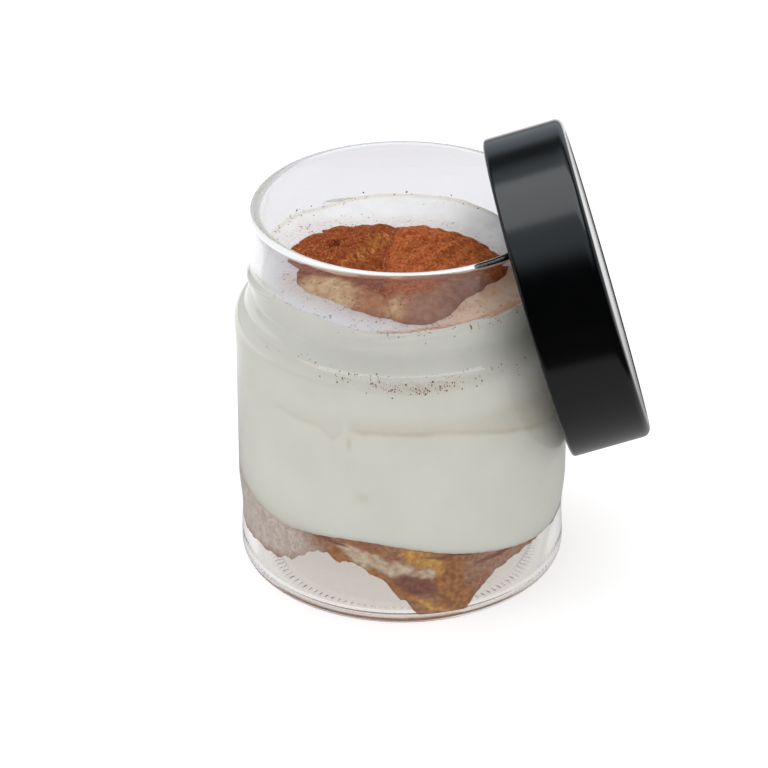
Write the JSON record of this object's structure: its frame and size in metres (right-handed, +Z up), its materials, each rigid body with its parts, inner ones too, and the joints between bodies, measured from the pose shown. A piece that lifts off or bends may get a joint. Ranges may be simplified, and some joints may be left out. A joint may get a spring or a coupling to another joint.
{
  "type": "tiramisu cup",
  "caption": "Glass jar of tiramisu: soaked sponge, white cream and a cocoa-dusted sponge heap, with its black twist-off lid hooked over the rim.",
  "frame": {"origin": "middle of the footprint of jar and leaning lid together, on the surface that the jar stands on; the jar's axis is 8.4 mm towards -X of it and 0.3 mm towards -Y", "axes": "+Z up along the jar's axis; +X towards the side where the lid leans; +Y away from the viewer in the picture"},
  "size_m": [0.0862, 0.0702, 0.0953],
  "materials": {
    "glass": "clear, smooth",
    "soaked_sponge": "moist, porous",
    "cream": "soft satin",
    "cocoa": "dry powder",
    "black_enamel": "gloss"
  },
  "bodies": {
    "root": {"glass_jar": "glass", "soaked_sponge": "soaked_sponge", "cream": "cream", "cocoa_sponge_left": "cocoa", "cocoa_sponge_right": "cocoa", "lid": "black_enamel"}
  },
  "joints": []
}
